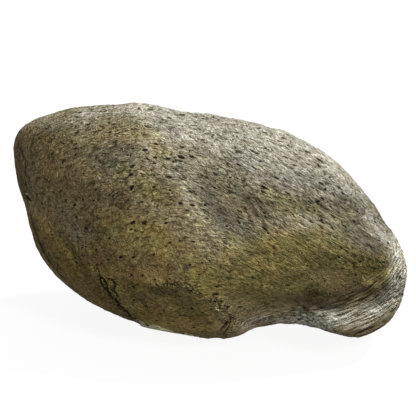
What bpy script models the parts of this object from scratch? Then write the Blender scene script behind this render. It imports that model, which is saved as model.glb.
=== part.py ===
"""Weathered, pitted boulder, one solid stone that lies on its worn, flat underside.

Run with: blender --background --python part.py
Metres, +Z up, the origin under the middle of the stone, on the ground. +X is the stone's length.

The stone's widest outline lies in a plane that leans back, the rim plane. A point of it is given as
(across, up): across is world X, and up climbs the leaning plane from the ground. The stone swells out of
that plane to the front (-Y) and to the back (+Y).
"""

import math
import random

import bmesh
import bpy
from mathutils import Vector, noise
from mathutils.bvhtree import BVHTree
from mathutils.kdtree import KDTree

STONE_NAME = "boulder"
COLLECTION_NAME = "mossy_rock"
SEED = 11

# The body
RIM_LEAN = math.radians(18.0)
FRONT_SWELL = 0.172
BACK_SWELL = 0.212
RIM_FULLNESS = 0.95
FACE_FULLNESS = 0.96
SWEEP = 0.10  # the right end lies ahead of the left tip, by this share of the length between them
RIM_CENTRE = (0.000, 0.135)
RIM_OUTLINE = (
    (-0.293, 0.284),
    (-0.293, 0.308),
    (-0.283, 0.326),
    (-0.256, 0.337),
    (-0.190, 0.355),
    (-0.148, 0.359),
    (-0.106, 0.358),
    (-0.041, 0.349),
    (0.002, 0.343),
    (0.044, 0.334),
    (0.087, 0.324),
    (0.130, 0.309),
    (0.173, 0.287),
    (0.206, 0.263),
    (0.240, 0.223),
    (0.262, 0.195),
    (0.269, 0.175),
    (0.285, 0.157),
    (0.298, 0.136),
    (0.309, 0.107),
    (0.305, 0.079),
    (0.286, 0.034),
    (0.263, 0.015),
    (0.239, 0.003),
    (0.216, 0.003),
    (0.194, 0.013),
    (0.164, 0.022),
    (0.130, 0.025),
    (0.087, 0.020),
    (0.072, 0.016),
    (0.060, 0.007),
    (0.034, 0.000),
    (-0.009, 0.003),
    (-0.041, 0.008),
    (-0.084, 0.015),
    (-0.126, 0.030),
    (-0.168, 0.048),
    (-0.210, 0.077),
    (-0.230, 0.097),
    (-0.251, 0.127),
    (-0.261, 0.158),
    (-0.268, 0.181),
    (-0.271, 0.202),
    (-0.282, 0.220),
    (-0.287, 0.252),
)

# Mesh cells along X, across the depth and up, before the worn places are made finer
BODY_CELLS = (33, 18, 18)
WORN_EDGE = 0.011
PIT_EDGES = (0.0120, 0.0065)

# Swells (height above 0) and dents (below 0): route of (across, up) points, half width, height
FRONT_FORMS = {
    "left_bulge": (((-0.150, 0.190),), 0.090, 0.010),
    "diagonal_ridge": (((-0.093, 0.310), (-0.045, 0.245), (0.025, 0.160)), 0.045, 0.005),
    "top_hollow": (((0.024, 0.228), (0.060, 0.170)), 0.040, -0.014),
    "small_hollow": (((0.124, 0.203), (0.164, 0.193)), 0.026, -0.005),
    "shoulder": (((-0.040, 0.080), (0.060, 0.108), (0.182, 0.126), (0.250, 0.122)), 0.034, 0.013),
    "undercut": (((0.105, 0.052), (0.147, 0.062), (0.200, 0.071), (0.232, 0.082)), 0.021, -0.017),
    "foot": (((0.200, 0.030), (0.232, 0.042), (0.268, 0.060)), 0.021, 0.013),
    "dark_dent": (((-0.070, 0.075), (-0.024, 0.063)), 0.018, -0.005),
    "lens_face": (((-0.235, 0.125), (-0.200, 0.085), (-0.165, 0.050)), 0.022, -0.007),
    "lens_edge": (((-0.180, 0.135), (-0.150, 0.085), (-0.118, 0.048)), 0.016, 0.004),
}
BACK_FORMS = {
    "broad_hollow": (((-0.100, 0.240), (0.050, 0.200)), 0.070, -0.016),
    "back_ridge": (((0.120, 0.280), (0.220, 0.120)), 0.040, 0.012),
    "ledge_dent": (((-0.200, 0.180), (-0.050, 0.100)), 0.025, -0.009),
    "low_swell": (((-0.030, 0.070), (0.120, 0.080)), 0.045, 0.012),
}
NARROW_FORM = 0.021  # forms up to this half width get a finer mesh

# Cracks, creases and notches, cut narrow and sharp
FRONT_CUTS = {
    "bedding_crack": (
        (
            (-0.197, 0.142),
            (-0.182, 0.116),
            (-0.170, 0.092),
            (-0.151, 0.063),
            (-0.127, 0.035),
            (-0.109, 0.021),
        ),
        0.007,
        -0.008,
    ),
    "broken_crack_edge": (((-0.165, 0.084), (-0.144, 0.052)), 0.011, -0.005),
    "right_crease": (((0.182, 0.216), (0.205, 0.190), (0.228, 0.150)), 0.015, -0.003),
    "left_notch": (((-0.272, 0.212),), 0.009, -0.007),
    "bottom_break": (((0.009, 0.058), (0.032, 0.024), (0.020, 0.003)), 0.008, -0.006),
}
BACK_CUTS = {
    "back_crease": (((0.020, 0.300), (0.080, 0.190), (0.095, 0.070)), 0.010, -0.007),
}

# Bedding ledges round the foot at the lower right
LEDGE_BAND = ((0.100, 0.030), (0.165, 0.040), (0.235, 0.056), (0.285, 0.098))
LEDGE_BAND_HALF_WIDTH = 0.024
LEDGE_FADE = 0.010
LEDGE_SLANT = 0.32  # the ledges climb by this much for each step to the right
LEDGE_SPACING = 0.016
LEDGE_HEIGHT = 0.0016
LEDGE_CLEAR_OF_GROUND = (0.015, 0.030)  # no ledges below the first height, whole ones above the second

# Uneven ground of the whole surface: (wavelength, height) of each step
ROUGHNESS = ((0.170, 0.010), (0.075, 0.0045), (0.034, 0.0016))
NOISE_PLACE = Vector((7.3, 2.1, 5.9))
RIM_ROUGHNESS = 0.25
RIM_CALM_DEPTH = 0.090
SIDE_FADE = 0.020  # depth over which a form of one side ends at the rim
OUTSIDE = 1.0  # a distance that is well outside the stone
CUT_TOLERANCE = 1e-5

# Pits that can be told apart from a step away: (across, up, half width), and more of them all round
FRONT_PITS = (
    (-0.127, 0.280, 0.0055),
    (-0.159, 0.261, 0.0050),
    (-0.174, 0.233, 0.0050),
    (-0.150, 0.233, 0.0048),
    (-0.122, 0.227, 0.0060),
    (-0.107, 0.252, 0.0050),
    (-0.115, 0.214, 0.0050),
    (-0.061, 0.226, 0.0065),
    (-0.122, 0.166, 0.0055),
    (-0.060, 0.306, 0.0060),
    (-0.011, 0.330, 0.0060),
    (0.034, 0.303, 0.0048),
    (0.077, 0.271, 0.0050),
    (0.029, 0.246, 0.0070),
    (0.144, 0.259, 0.0048),
    (0.044, 0.176, 0.0052),
    (0.024, 0.171, 0.0052),
    (0.087, 0.161, 0.0050),
    (-0.195, 0.138, 0.0050),
    (-0.098, 0.106, 0.0046),
    (-0.074, 0.063, 0.0048),
    (-0.109, 0.046, 0.0050),
    (0.078, 0.080, 0.0056),
    (0.235, 0.093, 0.0052),
    (0.265, 0.115, 0.0060),
    (0.196, 0.124, 0.0060),
)
OTHER_PITS = 34
OTHER_PIT_HALF_WIDTHS = (0.0045, 0.0070)
PIT_DEPTH_SHARE = 1.1  # depth of a pit's middle, in half widths
PIT_KEEP_CLEAR = 0.030  # no scattered pit starts lower than this above the ground
NAMED_PITS_SWELL = 0.05  # further out to the front than this, there are only the named pits
LIP_SHARE = 1.2  # radius of a pit's lip, in half widths
PIT_REACH = 1.5  # the mesh is finer out to this many half widths
PIT_SPACING = 4.0  # least distance between scattered pits, in half widths


def clear_scene():
    """Removes every object the scene starts with."""
    for existing in list(bpy.data.objects):
        bpy.data.objects.remove(existing, do_unlink=True)


def smooth_step(value):
    """0 below 0, 1 above 1, and a smooth rise between them."""
    t = min(1.0, max(0.0, value))
    return t * t * (3.0 - 2.0 * t)


def rim_knots():
    """The outline as (angle, radius) pairs about the rim's centre, by rising angle."""
    knots = []
    for across, up in RIM_OUTLINE:
        offset = Vector((across - RIM_CENTRE[0], up - RIM_CENTRE[1]))
        knots.append((math.atan2(offset.y, offset.x), offset.length))
    return sorted(knots)


def rim_radius(knots, angle):
    """Distance from the rim's centre to the outline at this angle, by a curve through the knots."""
    count = len(knots)
    after = next((i for i, knot in enumerate(knots) if knot[0] > angle), count)
    around = []
    for index in range(after - 2, after + 2):
        turn, place = divmod(index, count)
        around.append((knots[place][0] + turn * math.tau, knots[place][1]))
    (a0, r0), (a1, r1), (a2, r2), (a3, r3) = around
    span = a2 - a1
    t = (angle - a1) / span
    slope_in = (r2 - r0) / (a2 - a0) * span
    slope_out = (r3 - r1) / (a3 - a1) * span
    return (
        (2 * t**3 - 3 * t**2 + 1) * r1
        + (t**3 - 2 * t**2 + t) * slope_in
        + (3 * t**2 - 2 * t**3) * r2
        + (t**3 - t**2) * slope_out
    )


def from_rim_plane(across, up, swell):
    """World point of a place in the rim plane, raised by swell towards the front."""
    return Vector(
        (
            across,
            up * math.sin(RIM_LEAN) - swell * math.cos(RIM_LEAN),
            up * math.cos(RIM_LEAN) + swell * math.sin(RIM_LEAN),
        )
    )


def to_rim_plane(point):
    """(across, up, swell) of a world point."""
    return (
        point.x,
        point.y * math.sin(RIM_LEAN) + point.z * math.cos(RIM_LEAN),
        point.z * math.sin(RIM_LEAN) - point.y * math.cos(RIM_LEAN),
    )


def body_point(knots, direction):
    """Point of the bare body in this direction: x across, y up the rim plane, z to the front."""
    share_out = min(1.0, math.hypot(direction.x, direction.y))
    angle = math.atan2(direction.y, direction.x)
    reach = rim_radius(knots, angle) * share_out**RIM_FULLNESS
    depth = FRONT_SWELL if direction.z > 0 else BACK_SWELL
    swell = math.copysign(depth * abs(direction.z) ** FACE_FULLNESS, direction.z)
    across = RIM_CENTRE[0] + reach * math.cos(angle)
    up = RIM_CENTRE[1] + reach * math.sin(angle)
    return from_rim_plane(across, up, swell + SWEEP * across)


def round_box_point(corner):
    """Point of the unit sphere for a point of the cube from -1 to 1, with even spacing."""
    x2, y2, z2 = (value * value for value in corner)
    return Vector(
        (
            corner.x * math.sqrt(1 - y2 / 2 - z2 / 2 + y2 * z2 / 3),
            corner.y * math.sqrt(1 - z2 / 2 - x2 / 2 + z2 * x2 / 3),
            corner.z * math.sqrt(1 - x2 / 2 - y2 / 2 + x2 * y2 / 3),
        )
    )


def celled_sphere():
    """A sphere of square cells: a cube cut into BODY_CELLS and blown round. Its z is the depth."""
    ball = bmesh.new()
    side = 2.0
    bmesh.ops.create_cube(ball, size=side)
    for axis, cells in zip((0, 2, 1), BODY_CELLS):
        along = [
            edge
            for edge in ball.edges
            if abs(edge.verts[0].co[axis] - edge.verts[1].co[axis]) > side / 2
        ]
        bmesh.ops.subdivide_edges(ball, edges=along, cuts=cells - 1, use_grid_fill=True)
    for vertex in ball.verts:
        vertex.co = round_box_point(vertex.co)
    return ball


def distance_to_route(across, up, route):
    """Distance in the rim plane from a place to a route of (across, up) points."""
    here = Vector((across, up))
    if len(route) == 1:
        return (here - Vector(route[0])).length
    nearest = math.inf
    for start, end in zip(route, route[1:]):
        leg = Vector(end) - Vector(start)
        share = (here - Vector(start)).dot(leg) / leg.length_squared
        share = min(1.0, max(0.0, share))
        nearest = min(nearest, (here - Vector(start) - leg * share).length)
    return nearest


def side_share(swell, to_front):
    """1 on the stated side of the rim, fading to 0 just past it."""
    return smooth_step(0.5 + (swell if to_front else -swell) / SIDE_FADE)


def relief_of_forms(place, forms, to_front):
    """Height that the broad swells and dents of one side add at a place of the rim plane."""
    across, up, swell = place
    height = 0.0
    for route, half_width, top in forms.values():
        share = distance_to_route(across, up, route) / half_width
        height += top * math.exp(-share * share)
    return height * side_share(swell, to_front)


def relief_of_cuts(place, cuts, to_front):
    """Depth that the cracks and creases of one side take away at a place of the rim plane."""
    across, up, swell = place
    height = 0.0
    for route, half_width, top in cuts.values():
        share = distance_to_route(across, up, route) / half_width
        height += top * max(0.0, 1.0 - share)
    return height * side_share(swell, to_front)


def relief_of_ledges(place, above_ground):
    """Stepped bedding round the foot: rises slowly and drops sharply once in each spacing."""
    across, up, swell = place
    distance = distance_to_route(across, up, LEDGE_BAND)
    strength = smooth_step((LEDGE_BAND_HALF_WIDTH - distance) / LEDGE_FADE)
    lowest, whole = LEDGE_CLEAR_OF_GROUND
    strength *= smooth_step((above_ground - lowest) / (whole - lowest))
    if strength == 0.0:
        return 0.0
    step = (up - LEDGE_SLANT * across) / LEDGE_SPACING
    share = step - math.floor(step)
    return LEDGE_HEIGHT * (share - 0.5) * strength * side_share(swell, True)


def relief_of_roughness(point, swell):
    """Uneven ground of the whole surface, gentler near the rim so that the outline stays true."""
    calm = RIM_ROUGHNESS + (1.0 - RIM_ROUGHNESS) * smooth_step(abs(swell) / RIM_CALM_DEPTH)
    height = 0.0
    for step, (wavelength, top) in enumerate(ROUGHNESS):
        height += top * noise.noise(point / wavelength + NOISE_PLACE * (step + 1))
    return height * calm


def near_worn_place(place):
    """True where the surface has a narrow form, cut or ledge."""
    across, up, swell = place
    cuts, forms = (FRONT_CUTS, FRONT_FORMS) if swell > 0 else (BACK_CUTS, BACK_FORMS)
    for route, half_width, _ in cuts.values():
        if distance_to_route(across, up, route) < half_width + WORN_EDGE:
            return True
    for route, half_width, _ in forms.values():
        if half_width <= NARROW_FORM and distance_to_route(across, up, route) < half_width:
            return True
    return swell > 0 and distance_to_route(across, up, LEDGE_BAND) < LEDGE_BAND_HALF_WIDTH


def split_edges(body, edges):
    """Halves these edges, and the faces beside them."""
    bmesh.ops.subdivide_edges(body, edges=edges, cuts=1, use_grid_fill=True)
    bmesh.ops.triangulate(body, faces=[face for face in body.faces if len(face.verts) > 4])


def refine_worn_places(ball, knots):
    """Halves the cells of the unit sphere where the finished surface has a narrow cut or ledge."""
    long_edges = []
    for edge in ball.edges:
        ends = [body_point(knots, vertex.co.normalized()) for vertex in edge.verts]
        if (ends[0] - ends[1]).length < WORN_EDGE:
            continue
        if near_worn_place(to_rim_plane((ends[0] + ends[1]) / 2)):
            long_edges.append(edge)
    split_edges(ball, long_edges)


def raise_relief(body):
    """Moves each point of the bare body along its normal by the relief there."""
    body.normal_update()
    moves = {}
    for vertex in body.verts:
        place = to_rim_plane(vertex.co)
        height = relief_of_forms(place, FRONT_FORMS, True) + relief_of_forms(place, BACK_FORMS, False)
        height += relief_of_cuts(place, FRONT_CUTS, True) + relief_of_cuts(place, BACK_CUTS, False)
        height += relief_of_ledges(place, vertex.co.z) + relief_of_roughness(vertex.co, place[2])
        moves[vertex] = vertex.normal * height
    for vertex, move in moves.items():
        vertex.co += move
    body.normal_update()


def pit_places(body):
    """(centre, half width) of each pit: those named on the front, then others all round."""
    surface = BVHTree.FromBMesh(body)
    inward = from_rim_plane(0, 0, -1)
    pits = []
    for across, up, half_width in FRONT_PITS:
        hit = surface.ray_cast(from_rim_plane(across, up, OUTSIDE), inward)[0]
        pits.append((hit, half_width))
    chance = random.Random(SEED)
    while len(pits) < len(FRONT_PITS) + OTHER_PITS:
        out = Vector([chance.gauss(0, 1) for _ in range(3)]).normalized()
        middle = from_rim_plane(*RIM_CENTRE, 0)
        hit = surface.ray_cast(middle + out * OUTSIDE, -out)[0]
        half_width = chance.uniform(*OTHER_PIT_HALF_WIDTHS)
        among_named_pits = to_rim_plane(hit)[2] > NAMED_PITS_SWELL
        if hit.z < PIT_KEEP_CLEAR or among_named_pits:
            continue
        if all((hit - centre).length > PIT_SPACING * (half_width + wide) for centre, wide in pits):
            pits.append((hit, half_width))
    return pits


def distance_to_edge(point, edge):
    """Distance from a point to the nearest place of an edge."""
    start, end = (vertex.co for vertex in edge.verts)
    leg = end - start
    share = min(1.0, max(0.0, (point - start).dot(leg) / leg.length_squared))
    return (point - start - leg * share).length


def edges_near_pits(body, pits, longest, reach):
    """Edges over this length that come within reach half widths of a pit's centre."""
    near = []
    for edge in body.edges:
        length = edge.calc_length()
        if length < longest:
            continue
        middle = (edge.verts[0].co + edge.verts[1].co) / 2
        for centre, half_width in pits:
            if (middle - centre).length > length + reach * half_width:
                continue
            if distance_to_edge(centre, edge) < reach * half_width:
                near.append(edge)
                break
    return near


def sink_pits(body):
    """Makes the surface finer round each pit, rounds the pit's lip and presses its middle in."""
    pits = pit_places(body)
    for longest in PIT_EDGES:
        split_edges(body, edges_near_pits(body, pits, longest, PIT_REACH))
    bmesh.ops.triangulate(body, faces=body.faces[:])
    body.normal_update()
    body.verts.ensure_lookup_table()
    points = KDTree(len(body.verts))
    for vertex in body.verts:
        points.insert(vertex.co, vertex.index)
    points.balance()
    moves = {}
    for centre, half_width in pits:
        middle = body.verts[points.find(centre)[1]]
        for edge in middle.link_edges:
            lip = edge.other_vert(middle)
            outward = lip.co - centre
            outward -= lip.normal * outward.dot(lip.normal)
            moves[lip] = outward.normalized() * (half_width * LIP_SHARE - outward.length)
        moves[middle] = centre - middle.co - middle.normal * PIT_DEPTH_SHARE * half_width
    for vertex, move in moves.items():
        vertex.co += move


def wear_flat_underneath(body):
    """Cuts the stone off at the ground, which leaves the worn, flat underside that it lies on."""
    everything = body.verts[:] + body.edges[:] + body.faces[:]
    cut = bmesh.ops.bisect_plane(
        body,
        geom=everything,
        plane_co=(0, 0, 0),
        plane_no=(0, 0, -1),
        clear_outer=True,
        dist=CUT_TOLERANCE,
    )
    rim = [item for item in cut["geom_cut"] if isinstance(item, bmesh.types.BMEdge)]
    bmesh.ops.holes_fill(body, edges=rim)


def centre_over_origin(body):
    """Slides the stone so that the middle of its length and depth is at the origin."""
    for axis in (0, 1):
        values = [vertex.co[axis] for vertex in body.verts]
        middle = (min(values) + max(values)) / 2
        for vertex in body.verts:
            vertex.co[axis] -= middle


def stone_material():
    """Grey-buff weathered stone under a thin olive film of moss, as one plain colour."""
    material = bpy.data.materials.new("weathered_stone")
    material.use_nodes = True
    surface = material.node_tree.nodes["Principled BSDF"]
    surface.inputs["Base Color"].default_value = (0.165, 0.140, 0.080, 1.0)
    surface.inputs["Roughness"].default_value = 0.88
    surface.inputs["Metallic"].default_value = 0.0
    return material


def build_stone(collection):
    """Builds the boulder and links it to the collection."""
    knots = rim_knots()
    body = celled_sphere()
    refine_worn_places(body, knots)
    for vertex in body.verts:
        vertex.co = body_point(knots, vertex.co.normalized())
    raise_relief(body)
    sink_pits(body)
    wear_flat_underneath(body)
    centre_over_origin(body)
    bmesh.ops.triangulate(body, faces=body.faces[:])
    bmesh.ops.recalc_face_normals(body, faces=body.faces[:])
    mesh = bpy.data.meshes.new(STONE_NAME)
    body.to_mesh(mesh)
    body.free()
    mesh.shade_smooth()
    mesh.materials.append(stone_material())
    stone = bpy.data.objects.new(STONE_NAME, mesh)
    collection.objects.link(stone)
    return stone


def main():
    """Builds the whole object in its own collection."""
    clear_scene()
    collection = bpy.data.collections.new(COLLECTION_NAME)
    bpy.context.scene.collection.children.link(collection)
    build_stone(collection)


main()
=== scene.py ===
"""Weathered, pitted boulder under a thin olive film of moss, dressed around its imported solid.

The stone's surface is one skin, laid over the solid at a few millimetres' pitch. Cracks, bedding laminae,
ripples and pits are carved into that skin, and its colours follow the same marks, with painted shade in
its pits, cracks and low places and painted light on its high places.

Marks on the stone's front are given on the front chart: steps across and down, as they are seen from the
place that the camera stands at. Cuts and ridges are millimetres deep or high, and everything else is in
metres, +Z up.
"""

import logging
import math
from dataclasses import dataclass, field
from enum import Enum
from typing import Any

import bmesh
import bpy
import numpy as np
from mathutils import Euler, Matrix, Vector
from mathutils.bvhtree import BVHTree

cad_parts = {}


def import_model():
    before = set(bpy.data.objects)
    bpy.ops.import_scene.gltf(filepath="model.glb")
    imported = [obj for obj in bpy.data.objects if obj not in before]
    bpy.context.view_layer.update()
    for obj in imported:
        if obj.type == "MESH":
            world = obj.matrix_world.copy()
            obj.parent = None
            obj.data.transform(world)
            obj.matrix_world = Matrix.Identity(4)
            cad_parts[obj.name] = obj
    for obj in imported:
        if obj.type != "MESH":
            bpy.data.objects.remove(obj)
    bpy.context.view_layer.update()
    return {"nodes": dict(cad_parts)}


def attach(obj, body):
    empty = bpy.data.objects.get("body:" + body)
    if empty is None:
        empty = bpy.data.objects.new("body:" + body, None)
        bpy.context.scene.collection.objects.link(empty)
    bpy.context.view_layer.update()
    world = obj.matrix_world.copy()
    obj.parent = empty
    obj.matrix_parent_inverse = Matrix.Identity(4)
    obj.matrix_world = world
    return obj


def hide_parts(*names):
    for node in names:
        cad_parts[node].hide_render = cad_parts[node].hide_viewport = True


log = logging.getLogger("mossy_rock")

SOLID = "boulder"
MILLIMETRE = 0.001
FAR_FROM_PITS = 3.0
PATCH_NAMES = ("film", "bare", "grey", "dark", "rough", "orange", "drab", "crumbs", "crust_and_painted_light")
OTHER_MARK_NAMES = ("painted_light_and_tone", "front", "crack", "foot", "relief", "pit")

# What these marks are worth on the sides that the front chart doesn't show. The others are 0 there.
UNSEEN_SIDES = {"rough": 0.5, "painted_light_and_tone": 0.5}

Route = tuple[tuple[float, float], ...]
Triple = tuple[float, float, float]


# Node trees


class Along(Enum):
    """Which coordinates a pattern follows."""

    PLACE = "place"
    FLOW = "flow"
    LAMINA = "lamina"


@dataclass(frozen=True)
class Pattern:
    """A noise: its wavelength in metres, its finer octaves, its distortion, and how it is drawn out."""

    size: float
    detail: float = 2.0
    rough: float = 0.5
    warp: float = 0.0
    along: Along = Along.PLACE
    stretch: Triple | None = None


class Wire:
    """A socket of a node tree, or of a field, that arithmetic can be written with."""

    def __init__(self, graph: "Graph", socket: bpy.types.NodeSocket) -> None:
        """Keeps the socket and the graph that it belongs to."""
        self.graph = graph
        self.socket = socket

    def _math(self, operation: str, *values: Any) -> "Wire":
        """Adds a Math node with these values."""
        return self.graph.node("ShaderNodeMath", {"operation": operation}, dict(enumerate(values)))

    def __add__(self, other: Any) -> "Wire":
        """self + other."""
        return self._math("ADD", self, other)

    __radd__ = __add__

    def __sub__(self, other: Any) -> "Wire":
        """self - other."""
        return self._math("SUBTRACT", self, other)

    def __rsub__(self, other: Any) -> "Wire":
        """other - self."""
        return self._math("SUBTRACT", other, self)

    def __mul__(self, other: Any) -> "Wire":
        """self * other."""
        return self._math("MULTIPLY", self, other)

    __rmul__ = __mul__

    def __truediv__(self, other: Any) -> "Wire":
        """self / other."""
        return self._math("DIVIDE", self, other)

    def __pow__(self, other: Any) -> "Wire":
        """self to the power of other."""
        return self._math("POWER", self, other)

    def highest(self, other: Any) -> "Wire":
        """The greater of self and other."""
        return self._math("MAXIMUM", self, other)

    def lowest(self, other: Any) -> "Wire":
        """The smaller of self and other."""
        return self._math("MINIMUM", self, other)

    def beside(self, name: str) -> "Wire":
        """Another output of the node that self comes from."""
        return Wire(self.graph, self.socket.node.outputs[name])

    def step(self, start: float, end: float, low: float = 0.0, high: float = 1.0) -> "Wire":
        """A smooth change from low at start to high at end.

        Args:
            start: Value of self at which the change begins.
            end: Value of self at which it is complete.
            low: Result before start.
            high: Result after end.

        Returns:
            The stepped value.
        """
        return self.graph.node(
            "ShaderNodeMapRange",
            {"interpolation_type": "SMOOTHSTEP"},
            {"Value": self, "From Min": start, "From Max": end, "To Min": low, "To Max": high},
        )


class Graph:
    """A node tree that nodes are added to by type, settings and socket values."""

    def __init__(self, tree: bpy.types.NodeTree) -> None:
        """Starts on an emptied tree."""
        self.tree = tree
        tree.nodes.clear()

    def node(
        self,
        kind: str,
        settings: dict[str, Any] | None = None,
        values: dict[Any, Any] | None = None,
        out: Any = 0,
    ) -> Wire:
        """Adds one node.

        Args:
            kind: The node's type.
            settings: Properties, which are set first.
            values: Socket name or number to a plain value, a Wire or a data block.
            out: Name or number of the output to return.

        Returns:
            The chosen output.
        """
        made = self.tree.nodes.new(kind)
        for name, setting in (settings or {}).items():
            setattr(made, name, setting)
        for name, value in (values or {}).items():
            socket = self._input(made, name)
            if isinstance(value, Wire):
                self.tree.links.new(value.socket, socket)
            else:
                socket.default_value = value
        return Wire(self, self._output(made, out))

    @staticmethod
    def _input(made: bpy.types.Node, name: Any) -> bpy.types.NodeSocket:
        """The node's usable input of this name, or of this number."""
        if isinstance(name, int):
            return made.inputs[name]
        return next(s for s in made.inputs if s.name == name and s.enabled)

    @staticmethod
    def _output(made: bpy.types.Node, name: Any) -> bpy.types.NodeSocket:
        """The node's usable output of this name, or of this number among the usable ones."""
        usable = [s for s in made.outputs if s.enabled]
        if isinstance(name, int):
            return usable[name] if usable else None
        return next(s for s in usable if s.name == name)

    def mix(self, share: Any, first: Any, second: Any) -> Wire:
        """Mixes two colours.

        Args:
            share: How much of the second colour shows.
            first: The colour at share 0.
            second: The colour at share 1.

        Returns:
            The mixed colour.
        """
        made = self.tree.nodes.new("ShaderNodeMix")
        made.data_type = "RGBA"
        sockets = [s for s in made.inputs if s.enabled]
        for socket, value in zip(sockets, (share, first, second)):
            if isinstance(value, Wire):
                self.tree.links.new(value.socket, socket)
            else:
                socket.default_value = (*value, 1.0) if isinstance(value, tuple) else value
        return Wire(self, next(s for s in made.outputs if s.enabled))

    def vector(self, operation: str, *values: Any, out: Any = 0) -> Wire:
        """Adds a Vector Math node. A trailing number of SCALE goes to the Scale socket."""
        named: dict[Any, Any] = dict(enumerate(values))
        if operation == "SCALE":
            named = {0: values[0], "Scale": values[1]}
        return self.node("ShaderNodeVectorMath", {"operation": operation}, named, out)

    def noise(self, coordinates: dict[Along, Wire], pattern: Pattern) -> Wire:
        """Cloudy noise from 0 to 1.

        Args:
            coordinates: What a pattern can follow.
            pattern: The noise's size and character.

        Returns:
            The noise value.
        """
        place = coordinates[pattern.along]
        if pattern.stretch:
            place = self.vector("MULTIPLY", place, pattern.stretch)
        values = {
            "Vector": place,
            "Scale": 1.0 / pattern.size,
            "Detail": pattern.detail,
            "Roughness": pattern.rough,
            "Distortion": pattern.warp,
        }
        return self.node("ShaderNodeTexNoise", {"noise_dimensions": "3D"}, values)

    def swing(self, coordinates: dict[Along, Wire], pattern: Pattern) -> Wire:
        """The same noise about zero, from -0.5 to 0.5."""
        return self.noise(coordinates, pattern) - 0.5


# The front chart


@dataclass
class FrontChart:
    """The stone's front as seen from the camera's place, in steps across and down from the upper left."""

    target: Triple = (0.0, 0.06, 0.1716)
    distance: float = 2.2
    elevation: float = math.radians(18.0)
    step: float = 0.001565
    middle: float = 208.0

    def back(self) -> np.ndarray:
        """Direction from the target to the eye."""
        return np.array([0.0, -math.cos(self.elevation), math.sin(self.elevation)])

    def upward(self) -> np.ndarray:
        """The chart's up direction."""
        return np.array([0.0, math.sin(self.elevation), math.cos(self.elevation)])

    def eye(self) -> np.ndarray:
        """Where the viewer's eye is."""
        return np.array(self.target) + self.back() * self.distance

    def places(self, points: np.ndarray) -> np.ndarray:
        """Chart places of points.

        Args:
            points: World points, one a row.

        Returns:
            (across, down) of each point, one a row.
        """
        offset = points - np.array(self.target)
        nearer = self.distance / (self.distance - offset @ self.back())
        across = self.middle + offset[:, 0] * nearer / self.step
        down = self.middle - (offset @ self.upward()) * nearer / self.step
        return np.stack([across, down], axis=1)

    def facing(self, points: np.ndarray, normals: np.ndarray) -> np.ndarray:
        """How squarely each point faces the eye, from -1 to 1."""
        to_eye = self.eye() - points
        to_eye /= np.linalg.norm(to_eye, axis=1)[:, None]
        return np.einsum("ij,ij->i", normals, to_eye)

    def ray(self, across: float, down: float) -> tuple[Vector, Vector]:
        """The eye, and the direction from it through a chart place."""
        seen = np.array(self.target) + self.upward() * (self.middle - down) * self.step
        seen[0] += (across - self.middle) * self.step
        return Vector(self.eye()), Vector(seen - self.eye()).normalized()

    def camera(self) -> bpy.types.Object:
        """Makes the camera that sees the chart square on.

        Returns:
            The camera object.
        """
        lens = bpy.data.cameras.new("front_camera")
        lens.sensor_width = 36.0
        lens.lens = lens.sensor_width * self.distance / (2.0 * self.middle * self.step)
        camera = bpy.data.objects.new("front_camera", lens)
        camera.location = self.eye()
        camera.rotation_euler = Euler((math.pi / 2 - self.elevation, 0.0, 0.0))
        bpy.context.scene.collection.objects.link(camera)
        return camera


@dataclass(frozen=True)
class Patch:
    """A soft-edged mark along a route on the front chart."""

    route: Route
    half_width: float
    strength: float = 1.0

    def amount(self, places: np.ndarray) -> np.ndarray:
        """How strongly the mark shows at each place."""
        share = distance_to_route(places, self.route)[0] / self.half_width
        return self.strength * np.exp(-(share**2))


def distance_to_route(places: np.ndarray, route: Route) -> tuple[np.ndarray, np.ndarray, np.ndarray]:
    """Distances from chart places to a route.

    Args:
        places: Chart places, one a row.
        route: The route's points.

    Returns:
        The distance to the route, the side of it (+1 below and left of its run, -1 the other side),
        and how far along the route the nearest point lies.
    """
    nearest = np.full(len(places), np.inf)
    side = np.ones(len(places))
    along = np.zeros(len(places))
    if len(route) == 1:
        return np.linalg.norm(places - np.array(route[0]), axis=1), side, along
    run = 0.0
    for start, end in zip(route, route[1:]):
        start_at, leg = np.array(start), np.array(end) - np.array(start)
        length = float(np.linalg.norm(leg))
        from_start = places - start_at
        share = np.clip(from_start @ leg / length**2, 0.0, 1.0)
        gap = from_start - share[:, None] * leg
        reach = np.linalg.norm(gap, axis=1)
        closer = reach < nearest
        cross = leg[0] * from_start[:, 1] - leg[1] * from_start[:, 0]
        nearest = np.where(closer, reach, nearest)
        side = np.where(closer, np.sign(cross), side)
        along = np.where(closer, run + share * length, along)
        run += length
    return nearest, side, along


def smooth_step(value: np.ndarray, start: float, end: float) -> np.ndarray:
    """0 before start, 1 after end, and a smooth change between them."""
    share = np.clip((value - start) / (end - start), 0.0, 1.0)
    return share * share * (3.0 - 2.0 * share)


# The marks of the front


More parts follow.
